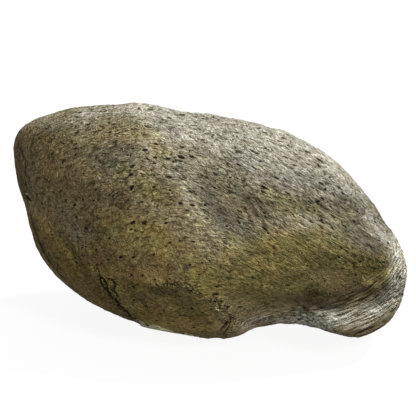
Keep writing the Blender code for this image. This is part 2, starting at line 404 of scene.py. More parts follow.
@dataclass
class FrontMarks:
    """Where the front's films, stains, painted light and shade, cracks, laminae and large pits lie on the
    front chart.

    Each crack has its route, half width and depth, each ridge its route, half width and height, which is
    below 0 for a groove, and each pit its place and radius. Depths and heights are in millimetres.
    """

    film: tuple[Patch, ...] = (
        Patch(((205, 278), (240, 268), (270, 258), (300, 250), (330, 248)), 18, 0.80),
        Patch(((296, 246), (316, 244)), 13, 0.35),
        Patch(((270, 270), (320, 268), (375, 270)), 24, 0.40),
        Patch(((110, 235), (150, 250), (185, 265)), 26, 0.30),
        Patch(((60, 255), (90, 292), (130, 315), (200, 325)), 15, 0.50),
        Patch(((110, 226), (136, 228), (160, 234)), 16, 0.62),
        Patch(((120, 252), (160, 256), (190, 268)), 15, 0.28),
        Patch(((95, 275), (130, 286), (165, 284)), 14, 0.60),
        Patch(((228, 240), (262, 240)), 12, 0.40),
        Patch(((280, 284), (326, 290)), 10, 0.45),
        Patch(((170, 296), (192, 300)), 9, 0.60),
        Patch(((150, 190), (185, 215), (215, 238)), 12, 0.18),
        Patch(((376, 266), (388, 278)), 8, 0.30),
        Patch(((306, 290), (328, 298)), 8, 0.35),
        Patch(((146, 124), (164, 150)), 12, 0.35),
        Patch(((275, 224), (300, 222), (325, 232)), 16, 0.25),
        Patch(((280, 200), (312, 212), (340, 214)), 20, 0.42),
        Patch(((236, 250), (280, 254), (324, 254)), 12, 0.35),
        Patch(((340, 258), (375, 268)), 14, 0.55),
        Patch(((124, 130), (150, 134), (164, 156)), 15, 0.45),
        Patch(((40, 142), (90, 138)), 14, 0.4),
        Patch(((128, 172), (156, 190)), 14, 0.55),
        Patch(((182, 192), (206, 218)), 12, 0.40),
        Patch(((145, 318), (205, 316)), 12, 0.55),
        Patch(((215, 292), (275, 302)), 18, 0.58),
        Patch(((45, 225), (60, 245), (80, 270), (100, 292)), 12, 0.35),
        Patch(((110, 262), (125, 285), (145, 302)), 14, 0.4),
        Patch(((260, 190), (290, 205)), 14, 0.3),
    )
    bare: tuple[Patch, ...] = (
        Patch(((172, 112), (210, 122), (250, 127), (310, 152), (345, 185)), 20, 1.0),
        Patch(((195, 125), (260, 150), (300, 170)), 22, 0.75),
        Patch(((350, 190), (375, 225), (395, 248), (398, 272)), 9, 0.85),
        Patch(((85, 112), (110, 108), (165, 110)), 7, 0.70),
        Patch(((150, 128), (172, 160), (188, 190), (205, 212), (240, 238)), 16, 0.55),
        Patch(((265, 215), (300, 222), (330, 232)), 16, 0.45),
        Patch(((255, 165), (300, 195), (330, 215)), 18, 0.35),
        Patch(((330, 319), (360, 317), (386, 303), (402, 280)), 12, 0.85),
        Patch(((402, 282), (405, 255), (400, 240)), 8, 0.7),
        Patch(((244, 326), (262, 319), (300, 319)), 7, 0.45),
        # Painted light: this one lightens the arch lip, which the carved shape leaves in shade.
        Patch(((300, 322), (328, 321)), 6, 0.90),
        Patch(((120, 150), (150, 160)), 15, 0.25),
    )
    grey: tuple[Patch, ...] = (
        Patch(((190, 165), (204, 188), (216, 208), (236, 224)), 18, 1.0),
        Patch(((190, 145), (215, 165), (245, 172)), 14, 0.3),
        Patch(((285, 200), (315, 208), (350, 212)), 14, 0.6),
        Patch(((345, 205), (358, 235), (372, 250)), 11, 0.9),
        Patch(((235, 235), (262, 232)), 12, 0.6),
        Patch(((110, 150), (140, 150), (160, 170)), 12, 0.45),
        Patch(((60, 185), (72, 225)), 15, 0.5),
        Patch(((95, 195), (110, 200)), 12, 0.35),
        Patch(((24, 150), (30, 190)), 9, 0.5),
        Patch(((150, 290), (190, 292)), 10, 0.6),
        Patch(((300, 270), (330, 275)), 10, 0.5),
        Patch(((225, 275), (250, 280)), 9, 0.35),
    )
    dark: tuple[Patch, ...] = (
        Patch(((152, 290), (172, 292), (190, 290)), 8, 0.55),
        Patch(((186, 268),), 5, 1.0),
        # Painted shade: darkens the undercut above the foot.
        Patch(((300, 278), (330, 290), (368, 284)), 9, 0.3),
        # Painted shade: these three darken along the cracks and the left rim.
        Patch(((104, 284), (112, 299), (126, 312)), 4, 0.6),
        Patch(((18, 140), (22, 180), (28, 205)), 4, 0.5),
        Patch(((32, 215), (38, 240), (50, 258), (66, 276)), 3.5, 0.6),
        Patch(((340, 205), (350, 222)), 5, 0.4),
        Patch(((150, 263),), 7, 0.4),
        Patch(((165, 245), (177, 247)), 5, 0.45),
        Patch(((103, 112),), 4, 0.5),
    )
    rough: tuple[Patch, ...] = (
        Patch(((120, 115), (190, 115), (260, 130), (320, 165), (370, 225), (395, 260)), 34, 0.9),
        Patch(((180, 160), (240, 190), (300, 210), (350, 235)), 34, 0.7),
        Patch(((60, 130), (110, 125)), 22, 0.5),
        Patch(((125, 170), (180, 215), (230, 250)), 26, 0.35),
        Patch(((40, 150), (90, 165), (110, 200)), 26, 0.35),
    )
    orange: tuple[Patch, ...] = (
        Patch(((62, 262), (88, 285), (112, 308)), 10, 0.9),
        Patch(((145, 315), (205, 324)), 12, 0.95),
        Patch(((104, 248), (122, 268), (150, 276), (160, 264)), 16, 0.90),
        Patch(((230, 208), (262, 226)), 14, 0.40),
        Patch(((48, 168), (66, 195)), 14, 0.35),
        Patch(((60, 180), (80, 220), (95, 250)), 22, 0.25),
        Patch(((230, 270), (265, 262)), 12, 0.25),
        Patch(((38, 224), (56, 256)), 12, 0.95),
        Patch(((84, 266), (118, 276), (148, 290)), 10, 0.60),
        Patch(((160, 308), (186, 326)), 10, 0.80),
        Patch(((244, 252), (290, 254)), 10, 0.35),
        Patch(((160, 262), (175, 275)), 10, 0.4),
    )
    crumbs: tuple[Patch, ...] = (
        Patch(((217, 300), (226, 313), (234, 320), (227, 334)), 6, 1.0),
        Patch(((97, 272), (104, 286), (118, 304), (139, 327)), 4, 0.9),
        Patch(((112, 282), (116, 298)), 4, 0.7),
        Patch(((156, 286), (176, 284), (192, 289)), 5, 0.8),
        Patch(((196, 292), (214, 300)), 7, 0.5),
        Patch(((232, 326), (258, 320), (300, 318)), 6, 0.7),
        Patch(((137, 325), (165, 333), (195, 337)), 4, 0.9),
        Patch(((26, 191), (30, 204)), 4, 0.9),
        Patch(((205, 272), (250, 262), (300, 262)), 16, 0.25),
    )
    drab: tuple[Patch, ...] = (
        Patch(((208, 146), (235, 166), (258, 190)), 18, 1.0),
        Patch(((84, 140), (112, 168)), 18, 0.65),
        Patch(((20, 124), (52, 120)), 10, 0.60),
        Patch(((222, 168), (238, 196)), 13, 0.60),
        Patch(((152, 180), (166, 184)), 8, 0.60),
        Patch(((222, 236), (246, 244)), 10, 0.40),
        Patch(((78, 236), (112, 240)), 12, 0.60),
        Patch(((140, 264), (170, 270), (206, 262)), 12, 0.50),
        Patch(((336, 232), (350, 250)), 12, 0.50),
        Patch(((302, 316), (322, 316)), 8, 1.0),
        Patch(((130, 160), (140, 196), (172, 222), (214, 244)), 15, 0.55),
        Patch(((55, 118), (100, 112), (140, 116)), 14, 1.0),
        Patch(((290, 200), (350, 215), (384, 245)), 22, 0.50),
        Patch(((215, 300), (260, 310), (300, 305), (330, 306)), 12, 0.45),
        Patch(((365, 318), (395, 300)), 9, 0.70),
    )
    # Pale crust, painted paler than the stone to stand in for light reflected onto the bottom edge and onto
    # the crumbs beside the cracks.
    crust_and_painted_light: tuple[Patch, ...] = (
        Patch(((137, 325), (150, 330), (165, 334)), 4.5, 1.9),
        Patch(((165, 334), (192, 338)), 3.5, 0.9),
        Patch(((27, 194), (29, 196)), 1.8, 1.0),
        Patch(((213, 301), (216, 308), (223, 314), (227, 320)), 2.6, 0.36),
        Patch(((162, 284), (176, 284), (189, 287)), 1.8, 0.30),
    )
    # Painted shade as well as dark staining: these darken the hollow, the undercut above the foot and other
    # places that the lighting leaves too bright.
    stain_and_painted_shade: tuple[Patch, ...] = (
        Patch(((242, 262), (256, 252), (280, 256), (330, 260), (372, 262)), 13, 0.38),
        Patch(((302, 236), (325, 238), (345, 238)), 10, 0.20),
        Patch(((30, 136), (60, 134)), 11, 0.30),
        Patch(((72, 150), (104, 162)), 16, 0.26),
        Patch(((160, 124), (176, 132)), 9, 0.20),
        Patch(((35, 165), (70, 158), (105, 158)), 22, 0.06),
        Patch(((118, 192), (136, 198)), 12, 0.20),
        Patch(((228, 208), (246, 236)), 11, 0.24),
        Patch(((62, 218), (76, 222)), 10, 0.16),
        Patch(((116, 140), (126, 148)), 8, 0.20),
        Patch(((45, 192), (80, 195)), 16, 0.18),
        Patch(((96, 235), (112, 262), (135, 282)), 15, 0.32),
        Patch(((294, 298), (328, 297), (352, 293), (372, 288)), 7, 0.44),
        Patch(((362, 308), (380, 303)), 6, 0.30),
        Patch(((384, 302), (399, 292)), 9, 0.50),
        Patch(((324, 308), (342, 304)), 5, 0.45),
        Patch(((362, 238), (378, 246)), 9, 0.20),
        Patch(((325, 208), (352, 205), (374, 205), (384, 226)), 10, 0.22),
        Patch(((285, 222), (292, 238)), 10, 0.20),
        Patch(((100, 190), (112, 196)), 10, 0.16),
        Patch(((192, 188), (206, 206), (222, 224)), 11, 0.12),
        Patch(((206, 192), (222, 214)), 9, 0.22),
        Patch(((292, 204), (312, 206)), 9, 0.15),
        Patch(((330, 182), (342, 192)), 8, 0.15),
        Patch(((302, 280), (318, 294)), 8, 0.25),
        Patch(((326, 303), (346, 306)), 6, 0.20),
        Patch(((384, 286), (397, 278)), 6, 0.45),
        Patch(((366, 290), (392, 296)), 7, 0.18),
        Patch(((312, 301), (327, 304)), 6, 0.50),
        Patch(((383, 266), (392, 261)), 5, 0.30),
        Patch(((93, 260), (102, 268)), 7, 0.25),
        Patch(((146, 256), (172, 266)), 10, 0.18),
        Patch(((270, 178), (292, 182), (308, 178)), 13, 0.24),
        Patch(((232, 158), (248, 162)), 12, 0.20),
        Patch(((285, 280), (295, 278)), 9, 0.25),
        Patch(((150, 292), (172, 284)), 10, 0.18),
    )
    # Painted light as well as paler stone: these lighten the arch lip above the foot, the shaded side of
    # the ridge and other places that the carved shape leaves in shade.
    bleach_and_painted_light: tuple[Patch, ...] = (
        Patch(((148, 200), (170, 220), (194, 244)), 16, 0.50),
        Patch(((204, 164), (230, 174)), 8, 0.25),
        Patch(((280, 260), (300, 268)), 10, 0.14),
        Patch(((140, 234), (166, 250)), 12, 0.22),
        Patch(((192, 272), (200, 284)), 7, 0.30),
        Patch(((366, 280), (377, 285)), 5, 0.50),
        Patch(((29, 202), (34, 214)), 4, 0.60),
        Patch(((55, 268), (78, 288), (104, 308)), 7, 0.22),
        Patch(((214, 296), (222, 310), (228, 328)), 6, 0.50),
        Patch(((150, 286), (196, 292)), 5, 0.20),
        Patch(((165, 326), (200, 328), (245, 328)), 7, 0.30),
        Patch(((240, 305), (300, 310)), 12, 0.30),
        Patch(((276, 312), (300, 315), (326, 320)), 7, 0.80),
        Patch(((300, 284), (340, 282)), 9, 0.22),
        Patch(((222, 200), (232, 214), (240, 214)), 7, 0.20),
        Patch(((250, 180), (262, 188)), 8, 0.20),
        Patch(((340, 268), (358, 270)), 8, 0.15),
        Patch(((228, 285), (240, 275)), 8, 0.15),
        Patch(((100, 268), (150, 278)), 7, 0.16),
        Patch(((150, 322), (190, 328)), 7, 0.20),
        Patch(((186, 140), (192, 160), (192, 188)), 9, 0.25),
        Patch(((246, 186), (250, 194)), 8, 0.12),
        Patch(((240, 328), (258, 322)), 7, 0.30),
        Patch(((388, 276), (394, 282)), 6, 0.25),
        Patch(((192, 222), (208, 234)), 9, 0.25),
        Patch(((268, 295), (292, 294)), 8, 0.35),
        Patch(((146, 278), (156, 282)), 7, 0.25),
        Patch(((268, 236), (288, 234)), 8, 0.20),
        Patch(((322, 320), (345, 326), (372, 318), (394, 300)), 8, 0.55),
    )
    cracks: tuple[tuple[Route, float, float], ...] = (
        (((97, 268), (99, 273), (100, 280)), 1.0, 1.2),
        (((99, 279), (103, 279), (106, 284), (107, 290), (104, 291), (101, 286), (99, 279)), 1.5, 2.4),
        (((111, 281), (115, 284), (113, 290)), 2.4, 2.4),
        (((106, 291), (110, 298), (116, 301), (119, 307), (127, 312), (131, 319), (139, 325)), 2.0, 3.0),
        (((113, 290), (117, 296), (114, 303)), 1.6, 1.6),
        (((217, 300), (220, 309), (226, 312), (231, 319), (229, 325), (224, 334)), 1.8, 1.2),
        (((227, 322), (221, 329)), 1.8, 1.8),
        (((207, 300), (213, 303), (218, 302)), 1.8, 1.4),
        (((20, 148), (25, 162), (24, 178), (27, 190)), 1.5, 1.0),
        (((26, 196), (30, 201)), 2.0, 2.0),
        (((30, 214), (34, 228), (39, 242), (46, 256), (54, 268), (66, 281)), 1.5, 1.2),
        (((160, 285), (170, 284), (180, 287)), 1.4, 1.0),
    )
    ridges: tuple[tuple[Route, float, float], ...] = (
        (((291, 228), (303, 232), (318, 241), (330, 250)), 2.2, 1.1),
        (((300, 146), (318, 156), (335, 172)), 2.6, 0.9),
        (((345, 205), (352, 220), (362, 240), (372, 252)), 2.8, 1.2),
        (((110, 137), (122, 146)), 2.0, 0.6),
        (((214, 176), (226, 186), (232, 180)), 1.8, 0.6),
        (((322, 166), (337, 188), (345, 208), (354, 226)), 3.0, -1.5),
        (((318, 186), (330, 200), (341, 211)), 2.0, -0.9),
        (((108, 141), (116, 147), (124, 143)), 2.4, -0.8),
        (((200, 205), (212, 206), (217, 210)), 1.8, -0.8),
    )
    lens_edge: Route = ((82, 243), (99, 270), (112, 296), (139, 325))
    lens_lip: tuple[float, float] = (-1.0, 2.5)
    lens_top: float = 236.0
    lens_width: float = 42.0
    lens_drop: float = 1.6
    lamina_guide: Route = (
        (236, 330), (262, 322), (300, 314), (340, 304), (368, 292), (388, 276), (400, 256), (403, 236),
    )
    foot_above_guide: tuple[float, float] = (-16.0, -3.0)
    foot_left: tuple[float, float] = (232.0, 262.0)
    foot_top: tuple[float, float] = (222.0, 250.0)
    pits: tuple[Triple, ...] = (
        (104, 283, 2.4), (107, 287.5, 1.8), (110.5, 284, 1.5), (106, 291, 2.0), (111, 290.5, 1.7),
        (113, 297, 1.6), (117, 302, 1.6), (121.5, 306, 1.4), (101, 278.5, 1.6), (98, 272.5, 1.3),
        (127, 312, 1.4), (127, 154.5, 1.9), (130, 155, 1.7), (107, 167, 1.6), (97.5, 186, 1.5),
        (113, 186, 1.5), (120, 182, 1.6), (131, 189.5, 2.3), (136, 198, 1.7), (141, 173.5, 1.6),
        (72, 197, 1.6), (46, 185, 1.7), (47, 190, 1.3), (154.5, 204, 1.7), (170, 190, 2.0),
        (172, 193, 1.6), (131, 229.6, 2.3), (171, 137.5, 2.0), (175, 140, 1.6), (103, 112, 2.2),
        (204, 122, 2.4), (208, 124, 1.7), (26, 170, 1.5), (68, 216, 1.4), (50, 221, 1.5),
        (233, 140, 1.7), (261, 161, 1.9), (230, 177, 2.4), (218, 169, 1.8), (259, 181, 1.4),
        (196.5, 144.5, 1.7), (305, 169, 1.5), (330.5, 176.5, 1.8), (339.5, 184, 1.8),
        (239.5, 223, 2.1), (227, 226, 2.0), (268, 233, 1.9), (376, 237, 2.1), (81, 248, 1.8),
        (85.5, 247, 1.7), (74, 258, 2.3), (104, 254, 1.5), (162.5, 297, 1.5), (140, 308, 1.9),
        (202.5, 259, 1.5), (147, 269, 1.4), (171, 217, 1.6), (155, 244, 1.4), (262, 286, 2.2),
        (260, 288, 1.6), (364.6, 277, 1.9), (384.6, 262.7, 2.3), (388.7, 291, 1.5), (397, 260, 1.6),
        (365, 263.6, 1.4), (339, 257, 2.3), (330, 294, 1.9), (349.4, 290, 1.6), (225, 329.5, 1.6),
        (215, 302, 2.6), (302, 253, 1.6), (215, 188, 1.6), (290, 200, 1.6), (257, 148, 1.5),
        (237, 157, 1.4), (159, 152, 1.4), (164, 161, 1.5), (147, 149, 1.4), (122, 116, 1.6),
        (136, 118, 1.5), (144, 121, 1.5), (88, 180, 1.3), (90, 187, 1.2), (61, 188, 1.3),
        (52, 190, 1.2), (58, 206, 1.2), (354, 213, 2.2), (345, 203, 2.0), (363, 208, 1.6),
        (306, 182, 1.5), (293, 215, 1.6), (205, 205, 1.9), (315, 210, 1.6), (271, 255, 1.4),
        (282, 265, 1.4), (286, 262, 1.3), (296, 260, 1.3), (327, 283, 1.5), (323, 286, 1.3),
    )

    def total(self, name: str, places: np.ndarray) -> np.ndarray:
        """How strongly all patches of one name show together at each place."""
        return sum(patch.amount(places) for patch in getattr(self, name))


# The stone


class Side(Enum):
    """Which part of the stone's skin is laid finer."""

    FRONT = "front"
    MARKS = "marks"


@dataclass
class StoneSkin:
    """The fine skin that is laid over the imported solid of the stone.

    Margins are the least facing of the cells that are halved, and streak_slopes gives the fall of the
    streaks at places across the front chart.
    """

    solid: bpy.types.Object
    chart: FrontChart
    marks: FrontMarks
    cells: tuple[int, int, int] = (94, 68, 59)
    half_sizes: Triple = (0.300, 0.200, 0.172)
    centre: Triple = (0.0, 0.0, 0.165)
    merging_distance: float = 1e-5
    fairing_rounds: int = 14
    refairing_rounds: int = 3
    fairing_pulls: tuple[float, float] = (0.6, -0.5)
    front_margin: float = -0.12
    marks_margin: float = 0.15
    fine_pit_radius: float = 1.6
    fine_pit_border: float = 1.2
    fine_crack_border: float = 0.6
    coarse_height: float = 0.002
    flat_height: float = 0.0015
    front_fade: tuple[float, float] = (-0.22, 0.02)
    dark_crack_depth: float = 1.5
    shallow_crack_fade: float = 0.6
    pit_narrowness: float = 0.52
    streak_slopes: Route = (
        (-60, -0.30), (20, -0.36), (110, -0.34), (145, -0.10),
        (180, 0.40), (215, 0.72), (300, 0.84), (430, 1.20),
    )
    streak_reach: tuple[float, float] = (-300.0, 701.0)
    streak_lean: float = 0.5
    streak_fold: float = 150.0
    streak_width: float = 0.8
    streak_retreat: float = 0.1
    skin: bpy.types.Object | None = None

    def build(self) -> bpy.types.Object:
        """Lays the skin, fairs it, and stores the marks that carving and colouring read.

        Returns:
            The skin, with plain relief-free shape.
        """
        surface = self._solid_surface()
        ball = self._celled_ball()
        self._wrap(ball, surface)
        self._fair(ball, self.fairing_rounds)
        self._refine(ball, Side.FRONT)
        self._fair(ball, self.refairing_rounds)
        self._refine(ball, Side.MARKS)
        self._rest_on_ground(ball)
        bmesh.ops.triangulate(ball, faces=[face for face in ball.faces if len(face.verts) > 4])
        mesh = bpy.data.meshes.new("stone_skin")
        bmesh.ops.recalc_face_normals(ball, faces=ball.faces[:])
        ball.to_mesh(mesh)
        ball.free()
        mesh.shade_smooth()
        self.skin = bpy.data.objects.new("stone_skin", mesh)
        bpy.context.scene.collection.objects.link(self.skin)
        self._store_marks(mesh)
        return self.skin

    def _solid_surface(self) -> BVHTree:
        """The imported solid, merged and rounded between its facets."""
        body = bmesh.new()
        body.from_mesh(self.solid.data)
        bmesh.ops.remove_doubles(body, verts=body.verts[:], dist=self.merging_distance)
        mesh = bpy.data.meshes.new("merged_solid")
        body.to_mesh(mesh)
        body.free()
        carrier = bpy.data.objects.new("merged_solid", mesh)
        bpy.context.scene.collection.objects.link(carrier)
        rounding = carrier.modifiers.new("rounding", "SUBSURF")
        rounding.levels = rounding.render_levels = 1
        graph = bpy.context.evaluated_depsgraph_get()
        surface = BVHTree.FromObject(carrier, graph)
        bpy.data.objects.remove(carrier)
        bpy.data.meshes.remove(mesh)
        return surface

    def _celled_ball(self) -> bmesh.types.BMesh:
        """A cube of side 2 with square cells, which is wrapped onto the stone."""
        ball = bmesh.new()
        bmesh.ops.create_cube(ball, size=2.0)
        for axis, cells in enumerate(self.cells):
            spans = ((edge, edge.verts[0].co[axis] - edge.verts[1].co[axis]) for edge in ball.edges)
            along = [edge for edge, span in spans if abs(span) > 1.0]
            bmesh.ops.subdivide_edges(ball, edges=along, cuts=cells - 1, use_grid_fill=True)
        return ball

    def _wrap(self, ball: bmesh.types.BMesh, surface: BVHTree) -> None:
        """Draws each point of the cube in to the solid, along a line to the stone's middle."""
        middle = Vector(self.centre)
        for vertex in ball.verts:
            x2, y2, z2 = (value * value for value in vertex.co)
            out = Vector(
                (
                    vertex.co.x * math.sqrt(1 - y2 / 2 - z2 / 2 + y2 * z2 / 3) * self.half_sizes[0],
                    vertex.co.y * math.sqrt(1 - z2 / 2 - x2 / 2 + z2 * x2 / 3) * self.half_sizes[1],
                    vertex.co.z * math.sqrt(1 - x2 / 2 - y2 / 2 + x2 * y2 / 3) * self.half_sizes[2],
                )
            ).normalized()
            vertex.co = surface.ray_cast(middle + out, -out)[0]

    def _fair(self, ball: bmesh.types.BMesh, rounds: int) -> None:
        """Takes the facets out of the skin, almost without shrinking it.

        Args:
            ball: The skin.
            rounds: Number of passes, each a smoothing pull and a slightly weaker push back.
        """
        ball.verts.index_update()
        points = np.array([vertex.co for vertex in ball.verts])
        edges = np.array([[vertex.index for vertex in edge.verts] for edge in ball.edges])
        count = np.bincount(edges.ravel(), minlength=len(points))[:, None]
        for pull in self.fairing_pulls * rounds:
            total = np.zeros_like(points)
            for axis in range(3):
                total[:, axis] = np.bincount(edges[:, 0], points[edges[:, 1], axis], len(points))
                total[:, axis] += np.bincount(edges[:, 1], points[edges[:, 0], axis], len(points))
            points += pull * (total / count - points)
        for vertex, point in zip(ball.verts, points):
            vertex.co = point

    def _refine(self, ball: bmesh.types.BMesh, side: Side) -> None:
        """Halves the cells that face the viewer, or those that carry a pit or a crack.

        Args:
            ball: The skin.
            side: Which cells are halved.
        """
        ball.normal_update()
        ball.faces.index_update()
        centres = np.array([face.calc_center_median() for face in ball.faces])
        facing = self.chart.facing(centres, np.array([face.normal for face in ball.faces]))
        picked = (facing > self.front_margin) & (centres[:, 2] > self.coarse_height)
        if side is Side.MARKS:
            picked &= self._near_marks(self.chart.places(centres)) & (facing > self.marks_margin)
        ball.faces.ensure_lookup_table()
        edges = {edge for index in np.nonzero(picked)[0] for edge in ball.faces[index].edges}
        bmesh.ops.subdivide_edges(ball, edges=list(edges), cuts=1, use_grid_fill=True)

    def _near_marks(self, places: np.ndarray) -> np.ndarray:
        """Which chart places lie at a large pit or at a crack."""
        near = np.zeros(len(places), bool)
        for across, down, radius in self.marks.pits:
            if radius >= self.fine_pit_radius:
                gap = np.hypot(places[:, 0] - across, places[:, 1] - down)
                near |= gap < radius + self.fine_pit_border
        for route, half_width, _ in self.marks.cracks:
            near |= distance_to_route(places, route)[0] < half_width + self.fine_crack_border
        return near

    def _rest_on_ground(self, ball: bmesh.types.BMesh) -> None:
        """Keeps the worn underside flat on the ground."""
        for vertex in ball.verts:
            if vertex.co.z < self.flat_height:
                vertex.co.z = 0.0

    def _store_marks(self, mesh: bpy.types.Mesh) -> None:
        """Works out the marks at each point and stores them as attributes.

        Args:
            mesh: The skin's mesh.
        """
        points = self._rows(mesh.vertices, "co")
        normals = self._rows(mesh.vertex_normals, "vector")
        places = self.chart.places(points)
        front = smooth_step(self.chart.facing(points, normals), *self.front_fade)
        values = {name: self.marks.total(name, places) for name in PATCH_NAMES}
        # The tone carries painted light and shade: the bleach patches brighten the stone and the stain
        # patches darken it.
        values["painted_light_and_tone"] = 0.5 + self.marks.total("bleach_and_painted_light", places) - self.marks.total("stain_and_painted_shade", places)
        for name, value in values.items():
            rest = UNSEEN_SIDES.get(name, 0.0)
            self._store(mesh, name, np.clip(rest + (value - rest) * front, 0.0, 1.0))
        self._store(mesh, "front", front)
        self._store_cuts(mesh, places, front)
        self._store_flow(mesh, points, places, front)

    @staticmethod
    def _rows(items: bpy.types.bpy_prop_collection, name: str) -> np.ndarray:
        """One vector of each item, one a row."""
        flat = np.empty(len(items) * 3)
        items.foreach_get(name, flat)
        return flat.reshape(-1, 3)

    def _store_cuts(self, mesh: bpy.types.Mesh, places: np.ndarray, front: np.ndarray) -> None:
        """Stores the height of cracks, ridges and the lens-shaped face, and where the cracks are dark.

        Args:
            mesh: The skin's mesh.
            places: The points' chart places.
            front: How much each point is on the front.
        """
        marks = self.marks
        carved = np.zeros(len(places))
        crack = np.full(len(places), -1.0)
        for route, half_width, depth in marks.cracks:
            inside = 1.0 - distance_to_route(places, route)[0] / half_width
            carved -= depth * MILLIMETRE * np.clip(inside, 0.0, 1.0)
            shallow = 1.0 - min(1.0, depth / self.dark_crack_depth)
            crack = np.maximum(crack, inside - self.shallow_crack_fade * shallow)
        for route, half_width, height in marks.ridges:
            gap = distance_to_route(places, route)[0]
            carved += height * MILLIMETRE * np.exp(-((gap / half_width) ** 2))
        gap, side, _ = distance_to_route(places, marks.lens_edge)
        below = smooth_step(side * gap, *marks.lens_lip) * (gap < marks.lens_width)
        below *= places[:, 1] > marks.lens_top
        carved -= marks.lens_drop * MILLIMETRE * below * np.clip(1.0 - gap / marks.lens_width, 0, 1)
        self._store(mesh, "carved", carved * front)
        self._store(mesh, "crack", (crack + 1.0) * front - 1.0)

    def _store_flow(
        self, mesh: bpy.types.Mesh, points: np.ndarray, places: np.ndarray, front: np.ndarray
    ) -> None:
        """Stores coordinates that run along and across the stone's streaks.

        Args:
            mesh: The skin's mesh.
            points: World points.
            places: Their chart places.
            front: How much each point is on the front.
        """
        chart, marks, step = self.chart, self.marks, self.chart.step
        across = chart.middle + points[:, 0] / step
        down = chart.middle - ((points - np.array(chart.target)) @ chart.upward()) / step
        folded = across - self.streak_lean * (down - self.streak_fold)
        order = np.arange(*self.streak_reach)
        drop = np.interp(folded, order, np.cumsum(np.interp(order, *zip(*self.streak_slopes))))
        depth = points @ chart.back()
        flow = np.stack([across * step, (down - drop) * self.streak_width * step, depth], axis=1)
        self._store_vector(mesh, "flow", flow)
        bend = np.interp(folded, *zip(*self.streak_slopes))
        bend /= 1.0 + self.streak_lean * bend
        way = np.stack([np.ones(len(points)), np.full(len(points), self.streak_retreat), -bend], axis=1)
        self._store_vector(mesh, "way", way / np.linalg.norm(way, axis=1)[:, None])
        gap, side, along = distance_to_route(places, marks.lamina_guide)
        signed = gap * side
        self._store_vector(mesh, "lamina", np.stack([along * step, signed * step, depth], axis=1))
        foot = smooth_step(signed, *marks.foot_above_guide) * smooth_step(places[:, 0], *marks.foot_left)
        foot *= front
        foot *= smooth_step(places[:, 1], *marks.foot_top)
        self._store(mesh, "foot", foot)

    @staticmethod
    def _store(mesh: bpy.types.Mesh, name: str, values: np.ndarray) -> None:
        """Stores one number a point."""
        stored = mesh.attributes.new(name, "FLOAT", "POINT")
        stored.data.foreach_set("value", values.astype(np.float32))

    @staticmethod
    def _store_vector(mesh: bpy.types.Mesh, name: str, values: np.ndarray) -> None:
        """Stores one vector a point."""
        stored = mesh.attributes.new(name, "FLOAT_VECTOR", "POINT")
        stored.data.foreach_set("vector", values.astype(np.float32).ravel())

    def named_pits(self) -> bpy.types.Object:
        """The large pits of the front, as loose points with a radius each.

        Returns:
            The object that holds them.
        """
        surface = BVHTree.FromObject(self.skin, bpy.context.evaluated_depsgraph_get())
        places, sizes = [], []
        for across, down, radius in self.marks.pits:
            hit = surface.ray_cast(*self.chart.ray(across, down))[0]
            if hit is not None:
                places.append(hit)
                sizes.append(radius * self.pit_narrowness * self.chart.step)
        mesh = bpy.data.meshes.new("named_pits")
        mesh.from_pydata(places, [], [])
        self._store(mesh, "pit_radius", np.array(sizes))
        holder = bpy.data.objects.new("named_pits", mesh)
        bpy.context.scene.collection.objects.link(holder)
        return holder


